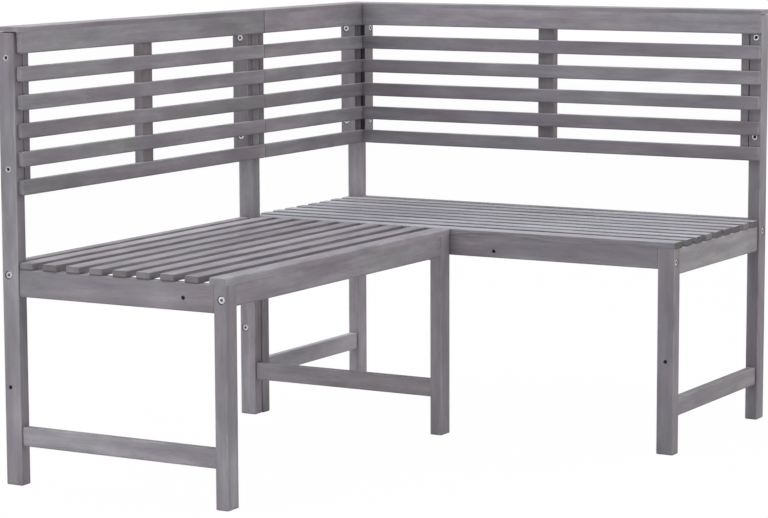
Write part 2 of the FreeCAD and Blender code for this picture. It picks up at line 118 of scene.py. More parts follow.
def cloudy(tree, place, stretch, detail, output="Fac"):
    """Noise that is drawn out by its own amount along, across and through a board."""
    drawn = add(tree, "ShaderNodeVectorMath", operation="MULTIPLY")
    feed(tree, place, drawn.inputs[0])
    drawn.inputs[1].default_value = stretch
    noise = add(tree, "ShaderNodeTexNoise", noise_dimensions="3D")
    feed(tree, drawn.outputs[0], noise.inputs["Vector"])
    noise.inputs["Scale"].default_value = 1.0
    noise.inputs["Detail"].default_value = detail
    noise.inputs["Roughness"].default_value = 0.55
    return noise.outputs[output]


def blended(tree, share, first, second, mode="MIX"):
    """Two colours, the second laid over the first by its share."""
    node = add(tree, "ShaderNodeMix", data_type="RGBA", blend_type=mode)
    feed(tree, share, node.inputs["Factor"])
    feed(tree, first, node.inputs[6])
    feed(tree, second, node.inputs[7])
    return node.outputs[2]


def between(tree, value, low, high, to_low=0.0, to_high=1.0):
    """A value spread from one range to another, held at both ends."""
    node = add(tree, "ShaderNodeMapRange", interpolation_type="SMOOTHSTEP")
    feed(tree, value, node.inputs["Value"])
    node.inputs["From Min"].default_value = low
    node.inputs["From Max"].default_value = high
    node.inputs["To Min"].default_value = to_low
    node.inputs["To Max"].default_value = to_high
    return node.outputs["Result"]


def acacia_figure():
    """The figure of sanded acacia under a thin grey wash, from a board's own grain places."""
    tree = bpy.data.node_groups.new("acacia_figure", "ShaderNodeTree")
    for label, kind in (
        ("Grain", "NodeSocketVector"),
        ("Board", "NodeSocketVector"),
        ("Edge", "NodeSocketFloat"),
        ("Cut End", "NodeSocketFloat"),
        ("Painted Shade", "NodeSocketFloat"),
        ("Rise", "NodeSocketFloat"),
        ("Paleness", "NodeSocketFloat"),
        ("End Stain", "NodeSocketFloat"),
        ("Wash", "NodeSocketColor"),
    ):
        tree.interface.new_socket(label, in_out="INPUT", socket_type=kind)
    for label, kind in (
        ("Color", "NodeSocketColor"),
        ("Roughness", "NodeSocketFloat"),
        ("Height", "NodeSocketFloat"),
    ):
        tree.interface.new_socket(label, in_out="OUTPUT", socket_type=kind)
    given = add(tree, "NodeGroupInput").outputs
    board = add(tree, "ShaderNodeSeparateXYZ")
    feed(tree, given["Board"], board.inputs[0])

    # The grain sways across the board, so no streak runs dead straight.
    sway = cloudy(tree, given["Grain"], (3.4, 9.0, 9.0), 2.0, "Color")
    swayed = add(tree, "ShaderNodeVectorMath", operation="MULTIPLY_ADD")
    feed(tree, sway, swayed.inputs[0])
    swayed.inputs[1].default_value = (0.0, 0.03, 0.03)
    feed(tree, given["Grain"], swayed.inputs[2])
    place = swayed.outputs[0]

    # The layers of the figure, from broad bands to fibres and pores.
    bands = cloudy(tree, place, (1.7, 44.0, 44.0), 3.0)
    streaks = cloudy(tree, place, (4.0, 190.0, 190.0), 3.0)
    fibres = cloudy(tree, place, (22.0, 1200.0, 1200.0), 2.0)
    blotches = cloudy(tree, place, (8.0, 30.0, 30.0), 3.0)
    drift = cloudy(tree, given["Grain"], (2.1, 4.0, 4.0), 1.0)
    pores = between(tree, cloudy(tree, place, (40.0, 760.0, 760.0), 1.0), 0.6, 0.72)

    # How pale each place is, by the board's own chance tone and the layers.
    value = reckon(tree, "MULTIPLY", board.outputs[0], 0.13)
    for layer, weight in ((bands, 0.34), (streaks, 0.15), (fibres, 0.12), (blotches, 0.5), (drift, 0.36)):
        share = reckon(tree, "MULTIPLY", layer, weight)
        value = reckon(tree, "ADD", value, share)
    value = reckon(tree, "ADD", value, given["Paleness"])
    value = reckon(tree, "SUBTRACT", value, 0.3)

    ramp = add(tree, "ShaderNodeValToRGB")
    feed(tree, value, ramp.inputs[0])
    stops = ramp.color_ramp.elements
    stops[0].position = 0.0
    stops[0].color = paint(79, 73, 79)
    stops[1].position = 1.0
    stops[1].color = paint(205, 201, 207)
    middle = stops.new(0.5)
    middle.color = paint(146, 141, 147)
    color = ramp.outputs[0]

    # Faint green, blue, rose and brown tints that wander along the board.
    hue = add(tree, "ShaderNodeValToRGB")
    wander = cloudy(tree, given["Grain"], (3.4, 9.0, 9.0), 1.0)
    leaning = reckon(tree, "MULTIPLY", wander, 2.6)
    leaning = reckon(tree, "ADD", leaning, reckon(tree, "MULTIPLY", board.outputs[1], 0.36))
    leaning = reckon(tree, "SUBTRACT", leaning, 0.96)
    feed(tree, leaning, hue.inputs[0])
    tints = hue.color_ramp.elements
    tints[0].position = 0.1
    tints[0].color = (0.972, 0.995, 0.972, 1.0)
    tints[1].position = 0.9
    tints[1].color = (1.0, 0.965, 0.955, 1.0)
    for position, tint in ((0.36, (0.982, 0.988, 1.0, 1.0)), (0.6, (1.0, 0.97, 1.0, 1.0))):
        tints.new(position).color = tint
    color = blended(tree, 1.0, color, hue.outputs[0], "MULTIPLY")
    color = blended(tree, 1.0, color, given["Wash"], "MULTIPLY")
    color = blended(tree, reckon(tree, "MULTIPLY", pores, 0.3), color, paint(96, 88, 94))

    # Rubbed edges turn pale, sawn ends soak up stain, and painted shade darkens low and marked faces.
    long_side = reckon(tree, "SUBTRACT", 1.0, given["Cut End"])
    chafed = reckon(tree, "MULTIPLY", given["Edge"], between(tree, blotches, 0.35, 0.6, 0.05, 0.45))
    chafed = reckon(tree, "MULTIPLY", chafed, long_side)
    color = blended(tree, chafed, color, paint(188, 184, 186))
    darkening = blended(tree, board.outputs[2], paint(86, 75, 77), paint(86, 85, 78))
    soaked = reckon(tree, "MULTIPLY", given["Cut End"], given["End Stain"])
    soaked = reckon(tree, "MULTIPLY", soaked, between(tree, board.outputs[1], 0.0, 1.0, 0.7, 1.2), True)
    color = blended(tree, soaked, color, darkening)
    # Painted shade along the lowest few mm of each board, stronger on the sawn ends.
    painted_low_shade = reckon(tree, "MULTIPLY", given["Cut End"], 0.45)
    painted_low_shade = reckon(tree, "ADD", painted_low_shade, 0.35)
    painted_low_shade = reckon(tree, "MULTIPLY", painted_low_shade, between(tree, given["Rise"], MM, 4.0 * MM, 1.0, 0.0))
    # Painted shade on the faces marked for it, broken a little along the streaks.
    held = between(tree, streaks, 0.3, 0.6, 0.75, 0.45)
    gathered = reckon(tree, "MULTIPLY", given["Painted Shade"], held, True)
    color = blended(tree, reckon(tree, "MAXIMUM", gathered, painted_low_shade), color, paint(70, 64, 68))

    # The surface is raised along streaks and fibres and sunk at the pores.
    rough = reckon(tree, "MULTIPLY", streaks, 0.3)
    rough = reckon(tree, "ADD", rough, 0.5)
    height = reckon(tree, "MULTIPLY", streaks, 0.6)
    height = reckon(tree, "ADD", height, reckon(tree, "MULTIPLY", fibres, 0.3))
    height = reckon(tree, "SUBTRACT", height, reckon(tree, "MULTIPLY", pores, 0.5))

    taken = add(tree, "NodeGroupOutput").inputs
    feed(tree, color, taken["Color"])
    feed(tree, rough, taken["Roughness"])
    feed(tree, height, taken["Height"])
    return tree


def timber(name, paleness, end_stain, wash=(1.0, 1.0, 1.0, 1.0)):
    """A finish for one kind of board, with its own paleness, stain of sawn ends and tint of the wash."""
    material = bpy.data.materials.new(name)
    material.use_nodes = True
    tree = material.node_tree
    surface = tree.nodes["Principled BSDF"]
    figure = add(tree, "ShaderNodeGroup", node_tree=figure_of_acacia)
    for label, mark, part in (
        ("Grain", "grain", "Vector"),
        ("Board", "board", "Vector"),
        ("Edge", "edge", "Fac"),
        ("Cut End", "cut_end", "Fac"),
        ("Painted Shade", "painted_shade", "Fac"),
        ("Rise", "rise", "Fac"),
    ):
        reading = add(tree, "ShaderNodeAttribute", attribute_name=mark)
        feed(tree, reading.outputs[part], figure.inputs[label])
    figure.inputs["Paleness"].default_value = paleness
    figure.inputs["End Stain"].default_value = end_stain
    figure.inputs["Wash"].default_value = wash
    feed(tree, figure.outputs["Color"], surface.inputs["Base Color"])
    feed(tree, figure.outputs["Roughness"], surface.inputs["Roughness"])
    surface.inputs["Specular IOR Level"].default_value = 0.42
    bump = add(tree, "ShaderNodeBump")
    bump.inputs["Strength"].default_value = 0.5
    bump.inputs["Distance"].default_value = 0.4 * MM
    feed(tree, figure.outputs["Height"], bump.inputs["Height"])
    feed(tree, bump.outputs[0], surface.inputs["Normal"])
    return material


def solids(node):
    """The points of each separate solid in a CAD node."""
    parts = bmesh.new()
    parts.from_mesh(frame["nodes"][node].data)
    bmesh.ops.remove_doubles(parts, verts=parts.verts[:], dist=WELD_REACH)
    seen = set()
    found = []
    for start in parts.verts:
        if start.index in seen:
            continue
        seen.add(start.index)
        waiting = [start]
        points = []
        while waiting:
            vert = waiting.pop()
            points.append(vert.co.copy())
            for edge in vert.link_edges:
                other = edge.other_vert(vert)
                if other.index not in seen:
                    seen.add(other.index)
                    waiting.append(other)
        found.append(np.array(points))
    parts.free()
    return found


def box_of(points):
    """Lowest and highest corner of some points."""
    return Vector(points.min(0)), Vector(points.max(0))


def distance_from(points, middle, axis):
    """How far each point stands from the axis through a middle."""
    others = [a for a in range(3) if a != axis]
    return np.linalg.norm((points - middle)[:, others], axis=1)


def fastener_axis(points):
    """The middle of a turned fastener and the axis that its points lie closest round."""
    middle = (points.min(0) + points.max(0)) / 2
    reach = [distance_from(points, middle, axis).max() for axis in range(3)]
    return middle, int(np.argmin(reach))


def seating(points, middle, axis, sense):
    """Where a fastener's outer end is, which way it points from there, and its length."""
    heading = Vector((0, 0, 0))
    heading[axis] = sense
    length = float(np.ptp(points[:, axis]))
    return Vector(middle) - heading * length / 2, heading, length


def headed_places(node, head_reach):
    """The seating of each fastener in a CAD node, from its head, which is wider than the reach."""
    places = []
    for points in solids(node):
        middle, axis = fastener_axis(points)
        wide = distance_from(points, middle, axis) > head_reach
        head = points[wide][:, axis].mean()
        places.append(seating(points, middle, axis, 1 if head < middle[axis] else -1))
    return places


def insert_places():
    """The seating of each threaded insert."""
    places = []
    for points in solids("threaded_inserts"):
        middle, axis = fastener_axis(points)
        places.append(seating(points, middle, axis, 1))
    return places


def cut_for(low, high):
    """The round cuts that reach into a board: bolt heads, inserts, spare holes and barrel nuts."""
    cuts = []
    for mouth, heading, _ in bolts:
        cuts.append((mouth - heading * SINK_LEAD, mouth + heading * BOLT_SINK_DEPTH, BOLT_SINK_RADIUS))
    for mouth, heading, length in inserts:
        cuts.append((mouth - heading * INSERT_LEAD, mouth + heading * length, INSERT_HOLE_RADIUS))
    for mount in frame["record"]["mounts"]:
        if mount["kind"] == "bore":
            middle = Vector(mount["pos_m"])
            heading = Vector(mount["axis"])
            half = mount["dims"]["length_mm"] * MM / 2 + SPARE_HOLE_LEAD
            cuts.append((middle - heading * half, middle + heading * half, mount["dims"]["r_mm"] * MM))
    cuts += nut_holes
    reaching = []
    for start, end, radius in cuts:
        bottom = Vector(map(min, start, end))
        top = Vector(map(max, start, end))
        if all(bottom[a] < high[a] and top[a] > low[a] for a in range(3)):
            reaching.append((start, end, radius))
    return reaching


def worked(mesh, *modifiers):
    """A new mesh with these modifiers worked in."""
    worker = bpy.data.objects.new("worker", mesh)
    bpy.context.scene.collection.objects.link(worker)
    for kind, settings in modifiers:
        modifier = worker.modifiers.new(kind, kind)
        for label, value in settings.items():
            if label in modifier.bl_rna.properties:
                setattr(modifier, label, value)
            else:
                modifier[label] = value
    bpy.context.view_layer.update()
    shown = worker.evaluated_get(bpy.context.evaluated_depsgraph_get())
    result = bpy.data.meshes.new_from_object(shown)
    bpy.data.objects.remove(worker)
    return result


def plain(name, mesh, *modifiers):
    """A plain object from a mesh and its modifiers: sharp rims stay sharp and flat faces shade flat."""
    mesh = worked(mesh, *modifiers)
    mesh.set_sharp_from_angle(angle=SHARP_ANGLE)
    mesh = worked(mesh, ("WEIGHTED_NORMAL", {"mode": "FACE_AREA", "weight": 50, "keep_sharp": True}))
    mesh.name = name
    piece = bpy.data.objects.new(name, mesh)
    bpy.context.scene.collection.objects.link(piece)
    return piece


def board_labels(mesh):
    """A number for each vertex of a mesh, the same for all that belong to one board."""
    label = np.arange(len(mesh.vertices))
    ends = np.zeros(len(mesh.edges) * 2, int)
    mesh.edges.foreach_get("vertices", ends)
    ends = ends.reshape(-1, 2)
    while True:
        lowest = np.minimum(label[ends[:, 0]], label[ends[:, 1]])
        renewed = label.copy()
        np.minimum.at(renewed, ends[:, 0], lowest)
        np.minimum.at(renewed, ends[:, 1], lowest)
        renewed = renewed[renewed]
        if (renewed == label).all():
            return label
        label = renewed


def mark_timber(piece, seed, rounding, butted="", painted_shade=UNDERSIDE_SHADE):
    """Writes on each board its grain place, chance tones, rubbed edges, sawn ends and sides of painted
    shade.
    """
    mesh = piece.data
    count = len(mesh.vertices)
    co = np.zeros(count * 3)
    mesh.vertices.foreach_get("co", co)
    co = co.reshape(-1, 3)
    label = board_labels(mesh)
    grain = np.zeros((count, 3))
    board_marks = np.zeros((count, 3))
    edge = np.zeros(count)
    rise = np.zeros(count)
    along_axis = np.zeros(count, int)
    chance = np.random.default_rng(seed)
    for first in np.unique(label):
        member = label == first
        points = co[member]
        low, high = points.min(0), points.max(0)
        order = np.argsort(low - high)
        grain[member] = (points - (low + high) / 2)[:, order] + chance.uniform(*GRAIN_SHIFT, 3)
        board_marks[member] = chance.uniform(0, 1, 3)
        near = np.minimum(points - low, high - points)
        if butted:
            near[:, 2] = points[:, 2] - low[2] if butted == "top" else high[2] - points[:, 2]
        edge[member] = (near < rounding * RUBBED_SHARE).sum(1) >= 2
        rise[member] = points[:, 2] - low[2] + (BUTT_RISE if butted == "bottom" else 0.0)
        along_axis[member] = order[0]
    normals = np.zeros(len(mesh.polygons) * 3)
    mesh.polygons.foreach_get("normal", normals)
    normals = normals.reshape(-1, 3)
    face_axis = np.array([along_axis[face.vertices[0]] for face in mesh.polygons])
    cut_end = (np.abs(normals[np.arange(len(normals)), face_axis]) > FACING).astype(float)
    # Faces that look the listed ways take painted shade, by their share.
    darkening = np.zeros(len(normals))
    for side, amount in painted_shade.items():
        darkening[normals @ np.array(SIDES[side]) > FACING] = amount
    for mark, kind, domain, values in (
        ("grain", "FLOAT_VECTOR", "POINT", grain),
        ("board", "FLOAT_VECTOR", "POINT", board_marks),
        ("edge", "FLOAT", "POINT", edge),
        ("rise", "FLOAT", "POINT", rise),
        ("cut_end", "FLOAT", "FACE", cut_end),
        ("painted_shade", "FLOAT", "FACE", darkening),
    ):
        part = "vector" if kind == "FLOAT_VECTOR" else "value"
        mesh.attributes.new(mark, kind, domain).data.foreach_set(part, values.ravel())


def placed(piece, slot, *nodes):
    """Sets a finished piece in the frame, in place of its CAD nodes."""
    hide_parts(*nodes)
    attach(piece, "root")


def drill_set(name, cuts):
    """An object of round bars, to be taken out of a board."""
    drill = bmesh.new()
    for start, end, radius in cuts:
        turn = (end - start).to_track_quat("Z", "Y").to_matrix().to_4x4()
        bmesh.ops.create_cone(
            drill, cap_ends=True, segments=HOLE_SIDES, radius1=radius, radius2=radius,
            depth=(end - start).length, matrix=Matrix.Translation((start + end) / 2) @ turn,
        )
    bores = bpy.data.meshes.new(name + "_bores")
    drill.to_mesh(bores)
    drill.free()
    cutter = bpy.data.objects.new(name + "_cutter", bores)
    bpy.context.scene.collection.objects.link(cutter)
    return cutter


def board(name, low, high, rounding, seed, finish, butted="", painted_shade=UNDERSIDE_SHADE):
    """A sawn board, rounded except where its top or bottom butts, and drilled for what reaches in."""
    sawn = bmesh.new()
    bmesh.ops.create_cube(sawn, size=1.0)
    size = high - low
    middle = (low + high) / 2
    for vert in sawn.verts:
        vert.co = Vector(vert.co[a] * size[a] + middle[a] for a in range(3))
    butt_height = {"top": high.z, "bottom": low.z}.get(butted)
    eased = [
        edge for edge in sawn.edges
        if butt_height is None or max(abs(vert.co.z - butt_height) for vert in edge.verts) > MM
    ]
    bmesh.ops.bevel(
        sawn, geom=eased, offset=rounding, segments=ROUNDING_STEPS, profile=0.5, affect="EDGES",
    )
    for face in sawn.faces:
        face.smooth = True
    mesh = bpy.data.meshes.new(name + "_sawn")
    sawn.to_mesh(mesh)
    sawn.free()
    steps = []
    cutter = None
    cuts = cut_for(low, high)
    if cuts:
        cutter = drill_set(name, cuts)
        steps.append(("BOOLEAN", {"operation": "DIFFERENCE", "object": cutter, "solver": "EXACT"}))
    piece = plain(name, mesh, *steps)
    if cutter:
        bpy.data.objects.remove(cutter)
    mark_timber(piece, seed, rounding, butted, painted_shade)
    piece.data.materials.clear()
    piece.data.materials.append(finish)
    return piece


bolts = headed_places("hex_socket_bolts", BOLT_HEAD_REACH)
inserts = insert_places()
nut_holes = []
figure_of_acacia = acacia_figure()
frame_timber = timber("frame_timber", 0.0, FRAME_END_STAIN)
posts = ("side_end_post", "side_joint_post", "main_corner_post", "main_end_post")
for number, post in enumerate(posts):
    low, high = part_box(post)
    high.z -= CAP_GAP
    piece = board(post + "_timber", low, high, POST_ROUNDING, POST_PLANKS + number, frame_timber)
    placed(piece, "frame_wood", post)


# Front legs
# Four shorter acacia legs of the same section, sawn and rounded as the posts are.
# They stop under the front slats, and the front rails are bolted in between them.
BENCH_GAP = 1.2 * MM
LEG_PLANKS = 3713
for number, leg in enumerate(("side_end_leg", "side_joint_leg", "main_corner_leg", "main_end_leg")):
    low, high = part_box(leg)
    if leg == "main_corner_leg":
        low.y += BENCH_GAP
    piece = board(leg + "_timber", low, high, POST_ROUNDING, LEG_PLANKS + number, frame_timber, "top")
    placed(piece, "frame_wood", leg)


# End rails and stretchers
# Flat acacia bars that tie each post to its leg, one under the seat and one near the floor.
# Their tenons are glued into the upright pieces, so only the length between shoulders shows.
RAIL_ROUNDING = 2.0 * MM
BAR_PLANKS = 1577
# Two stretchers at the back are painted paler, as painted light for the light that reaches them.
PAINTED_LIGHT_BARS = {"side_joint_stretcher": 0.07, "main_corner_stretcher": 0.2}


def shouldered(node, lower_upright, upper_upright):
    """The part of a tenoned bar between the faces of its two uprights."""
    low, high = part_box(node)
    axis = max(range(3), key=lambda a: high[a] - low[a])
    low[axis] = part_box(lower_upright)[1][axis]
    high[axis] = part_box(upper_upright)[0][axis]
    return low, high


for number, (frame_end, lower_upright, upper_upright) in enumerate((
    ("side_end", "side_end_post", "side_end_leg"),
    ("side_joint", "side_joint_post", "side_joint_leg"),
    ("main_corner", "main_corner_leg", "main_corner_post"),
    ("main_end", "main_end_leg", "main_end_post"),
)):
    for place, bar in enumerate(("rail", "stretcher")):
        node = f"{frame_end}_{bar}"
        low, high = shouldered(node, lower_upright, upper_upright)
        seed = BAR_PLANKS + 2 * number + place
        finish = frame_timber
        if node in PAINTED_LIGHT_BARS:
            finish = timber("painted_light_" + node, PAINTED_LIGHT_BARS[node], FRAME_END_STAIN)
        piece = board(node + "_timber", low, high, RAIL_ROUNDING, seed, finish)
        placed(piece, "frame_wood", node)


# Long rails and seat supports
# Acacia rails along the front and rear of each seat, drawn up to the uprights by bolts and barrel nuts.
# A cross bar under the middle of each seat stops the long slats from sagging.
SUPPORT_ROUNDING = 1.0 * MM
NUT_HOLE_RADIUS = 5.05 * MM
NUT_HOLE_LEAD = 5 * MM
LONG_RAIL_PLANKS = 1082
SUPPORT_PLANKS = 81


def nut_places():
    """The seating of each barrel nut, whose slotted end looks to the middle of its seat."""
    places = []
    for points in solids("barrel_nuts"):
        middle, axis = fastener_axis(points)
        bench = "side" if axis == 0 else "main"
        front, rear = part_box(f"{bench}_front_rail"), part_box(f"{bench}_rear_rail")
        seat_middle = (front[0] + front[1] + rear[0] + rear[1]) / 4
        places.append(seating(points, middle, axis, 1 if middle[axis] > seat_middle[axis] else -1))
    return places


nuts = nut_places()
for mouth, heading, length in nuts:
    nut_holes.append((mouth - heading * NUT_HOLE_LEAD, mouth + heading * length, NUT_HOLE_RADIUS))
for number, rail in enumerate(("side_front_rail", "side_rear_rail", "main_front_rail", "main_rear_rail")):
    low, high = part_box(rail)
    seed = LONG_RAIL_PLANKS + number
    butted = "top" if "front" in rail else ""
    piece = board(rail + "_timber", low, high, RAIL_ROUNDING, seed, frame_timber, butted)
    placed(piece, "frame_wood", rail)
for number, points in enumerate(solids("seat_supports")):
    low, high = box_of(points)
    seed = SUPPORT_PLANKS + number
    piece = board(f"seat_support_{number + 1}_timber", low, high, SUPPORT_ROUNDING, seed, frame_timber)
    placed(piece, "frame_wood", "seat_supports")


# Seat slats
# Eight narrow acacia slats and a wider front one on each seat, planed with rounded edges.
# They lie across the rails with even gaps, and their sawn ends show at the open ends.
SLAT_ROUNDING = 2.0 * MM
FRONT_ROUNDING = 3.5 * MM
SLAT_LOOSENESS = 0.25 * MM
NARROW_SLATS = 8
PATH_POINTS = 25
END_EASING = 0.05
SEAT_PLANKS = 101
FRONT_PLANKS = 3794


def slat_row_tree():
    """Geometry nodes for a row of equal slats: a rounded section drawn along a line and repeated."""
    tree = bpy.data.node_groups.new("slat_row", "GeometryNodeTree")
    for label, kind in (
        ("Count", "NodeSocketInt"),
        ("Length", "NodeSocketFloat"),
        ("Width", "NodeSocketFloat"),
        ("Thickness", "NodeSocketFloat"),
        ("Rounding", "NodeSocketFloat"),
        ("Step", "NodeSocketVector"),
        ("Looseness", "NodeSocketFloat"),
        ("Seed", "NodeSocketInt"),
        ("Finish", "NodeSocketMaterial"),
    ):
        tree.interface.new_socket(label, in_out="INPUT", socket_type=kind)
    tree.interface.new_socket("Geometry", in_out="OUTPUT", socket_type="NodeSocketGeometry")
    given = add(tree, "NodeGroupInput").outputs

    # The section of a slat, with rounded corners.
    section = add(tree, "GeometryNodeCurvePrimitiveQuadrilateral", mode="RECTANGLE")
    feed(tree, given["Width"], section.inputs["Width"])
    feed(tree, given["Thickness"], section.inputs["Height"])
    rounded = add(tree, "GeometryNodeFilletCurve", mode="POLY")
    feed(tree, section.outputs[0], rounded.inputs["Curve"])
    feed(tree, given["Rounding"], rounded.inputs["Radius"])
    rounded.inputs["Count"].default_value = ROUNDING_STEPS

    # The line that it is drawn along, with points crowded towards the eased ends.
    line = add(tree, "GeometryNodeCurvePrimitiveLine", mode="DIRECTION")
    line.inputs["Direction"].default_value = (1, 0, 0)
    feed(tree, given["Length"], line.inputs["Length"])
    spaced = add(tree, "GeometryNodeResampleCurve")
    feed(tree, line.outputs[0], spaced.inputs["Curve"])
    spaced.inputs["Count"].default_value = PATH_POINTS
    share = add(tree, "GeometryNodeSplineParameter").outputs["Factor"]
    swing = reckon(tree, "COSINE", reckon(tree, "MULTIPLY", share, math.pi), 0.0)
    reach = reckon(tree, "MULTIPLY", given["Length"], -0.5)
    spot = add(tree, "ShaderNodeCombineXYZ")
    feed(tree, reckon(tree, "MULTIPLY", swing, reach), spot.inputs[0])
    gathered = add(tree, "GeometryNodeSetPosition")
    feed(tree, spaced.outputs[0], gathered.inputs["Geometry"])
    feed(tree, spot.outputs[0], gathered.inputs["Position"])
    upright = add(tree, "GeometryNodeSetCurveNormal", mode="Z_UP")
    feed(tree, gathered.outputs[0], upright.inputs["Curve"])
    at_end = add(tree, "GeometryNodeCurveEndpointSelection").outputs[0]
    eased = reckon(tree, "SUBTRACT", 1.0, reckon(tree, "MULTIPLY", at_end, END_EASING))
    drawn = add(tree, "GeometryNodeCurveToMesh")
    feed(tree, eased, drawn.inputs["Scale"])
    feed(tree, upright.outputs[0], drawn.inputs["Curve"])
    feed(tree, rounded.outputs[0], drawn.inputs["Profile Curve"])
    drawn.inputs["Fill Caps"].default_value = True

    # The row, with each slat a chance hair out of place.
    row = add(tree, "GeometryNodeMeshLine", mode="OFFSET")
    feed(tree, given["Count"], row.inputs["Count"])
    feed(tree, given["Step"], row.inputs["Offset"])
    chance = add(tree, "FunctionNodeRandomValue", data_type="FLOAT_VECTOR")
    chance.inputs[0].default_value = (-1, -1, -1)
    chance.inputs[1].default_value = (1, 1, 1)
    feed(tree, given["Seed"], chance.inputs["Seed"])
    moved = add(tree, "ShaderNodeVectorMath", operation="SCALE")
    feed(tree, chance.outputs[0], moved.inputs[0])
    feed(tree, given["Looseness"], moved.inputs["Scale"])
    loose = add(tree, "GeometryNodeSetPosition")
    feed(tree, row.outputs[0], loose.inputs["Geometry"])
    feed(tree, moved.outputs[0], loose.inputs["Offset"])
    laid = add(tree, "GeometryNodeInstanceOnPoints")
    feed(tree, loose.outputs[0], laid.inputs["Points"])
    feed(tree, drawn.outputs[0], laid.inputs["Instance"])
    real = add(tree, "GeometryNodeRealizeInstances")
    feed(tree, laid.outputs[0], real.inputs[0])
    smooth = add(tree, "GeometryNodeSetShadeSmooth")
    feed(tree, real.outputs[0], smooth.inputs[0])
    finished = add(tree, "GeometryNodeSetMaterial")
    feed(tree, smooth.outputs[0], finished.inputs["Geometry"])
    feed(tree, given["Finish"], finished.inputs["Material"])
    feed(tree, finished.outputs[0], add(tree, "NodeGroupOutput").inputs[0])
    return tree


def modifier_values(tree, values):
    """A Nodes modifier's settings, with each named input under its socket's identifier."""
    settings = {"node_group": tree}
    for item in tree.interface.items_tree:
        if item.in_out == "INPUT" and item.name in values:
            settings[item.identifier] = values[item.name]
    return settings


def lay_slats(name, boxes, looseness, seed, finish, painted_shade=UNDERSIDE_SHADE):
    """A row of equal slats laid where the CAD slats are."""
    low, high = boxes[0]
    size = high - low
    middle = (low + high) / 2
    last = (boxes[-1][0] + boxes[-1][1]) / 2
    lengthwise_y = size.y > size.x
    turn = Matrix.Rotation(math.pi / 2 if lengthwise_y else 0.0, 4, "Z")
    step = turn.inverted() @ ((last - middle) / (len(boxes) - 1))
    values = {
        "Count": len(boxes),
        "Length": max(size.x, size.y),
        "Width": min(size.x, size.y),
        "Thickness": size.z,
        "Rounding": SLAT_ROUNDING,
        "Step": tuple(step),
        "Looseness": looseness,
        "Seed": seed,
        "Finish": finish,
    }
    nodes = ("NODES", modifier_values(slat_row, values))
    piece = plain(name, bpy.data.meshes.new(name + "_start"), nodes)
    piece.data.transform(Matrix.Translation(middle) @ turn)
    mark_timber(piece, seed, SLAT_ROUNDING, "", painted_shade)
    return piece


slat_row = slat_row_tree()
front_timber = timber("front_slat_timber", 0.04, 0.25)
# The main seat is painted paler and bluer than the side seat, as painted light for the bright, cool light
# on its top.
main_seat_painted_light_timber = timber("main_seat_painted_light_timber", 0.265, 1.0, (0.955, 0.99, 1.0, 1.0))
# Painted shade goes under the slats and on their sides that face the gaps; the main front slat also takes
# it on its front face.
seats_made = {
    "side": (timber("side_seat_timber", 0.06, 0.55), {"bottom": 1.0, "left": 0.65, "right": 0.65}),
    "main": (main_seat_painted_light_timber, {"bottom": 1.0, "front": 0.8, "rear": 0.8}),
}
fronts_made = {
    "side": (front_timber, UNDERSIDE_SHADE),
    "main": (main_seat_painted_light_timber, {"bottom": 1.0, "front": 0.85, "rear": 0.8}),
}
for number, (bench, (seat_timber, gap_shade)) in enumerate(seats_made.items()):
    narrow = [f"{bench}_seat_slat_{slat + 1}" for slat in range(NARROW_SLATS)]
    boxes = [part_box(node) for node in narrow]
    seed = SEAT_PLANKS + number
    row = lay_slats(f"{bench}_seat_slats", boxes, SLAT_LOOSENESS, seed, seat_timber, gap_shade)
    placed(row, "seat_wood", *narrow)
    front = f"{bench}_seat_slat_{NARROW_SLATS + 1}"
    seed = FRONT_PLANKS + number
    finish, sides = fronts_made[bench]
    piece = board(f"{bench}_front_slat", *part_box(front), FRONT_ROUNDING, seed, finish, "bottom", sides)
    placed(piece, "seat_wood", front)


# Back panels
# Three panels of five acacia slats under a top rail and a flat cap, screwed to stiles behind.
# The end stiles are bolted to the posts and the middle stiles only hold the slats in line.
BACK_LOOSENESS = 0.1 * MM
POST_GAP = 1.4 * MM
TOUCHING = 0.2 * MM
PANEL_GAPS = {
    "side_back": (0.0, 1.0 * MM),
    "corner_back": (1.0 * MM, 1.5 * MM),
    "main_back": (0.0, 0.0),
}
# The two stiles that meet in the inner corner take painted shade on the faces that look into it.
INNER_CORNER_SHADE = {
    "corner_back_corner_stile": {"bottom": 1.0, "right": 1.1},
    "main_back_corner_stile": {"bottom": 1.0, "front": 1.6},
}
BACK_END_STAIN = 0.12
STILE_PLANKS = 3418
BACK_SLAT_PLANKS = 465
TOP_PLANKS = 1123
# The stiles are painted darker than the other boards, as painted shade for the slats in front of them.
stile_painted_shade_timber = timber("stile_painted_shade_timber", -0.08, 0.25)
back_timber = timber("back_timber", -0.01, BACK_END_STAIN)
top_timber = timber("top_timber", 0.02, BACK_END_STAIN)
panels = {
    "side_back": ("end_stile", "middle_stile", "joint_stile"),
    "corner_back": ("joint_stile", "corner_stile"),
    "main_back": ("corner_stile", "middle_stile", "end_stile"),
}


def off_the_next_panel(panel, low, high):
    """A panel board's corners, drawn back a hair from the boards of the panels beside it."""
    start, end = PANEL_GAPS[panel]
    low.y += start
    high.y -= end
    return low, high


def off_the_posts(low, high):
    """A stile's corners, drawn back a hair from the post that it is bolted to."""
    for post in posts:
        post_low, post_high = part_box(post)
        for axis in (0, 1):
            other = 1 - axis
            beside = low[other] < post_high[other] and high[other] > post_low[other]
            if beside and abs(low[axis] - post_high[axis]) < TOUCHING:
                low[axis] += POST_GAP
            if beside and abs(high[axis] - post_low[axis]) < TOUCHING:
                high[axis] -= POST_GAP
    return low, high


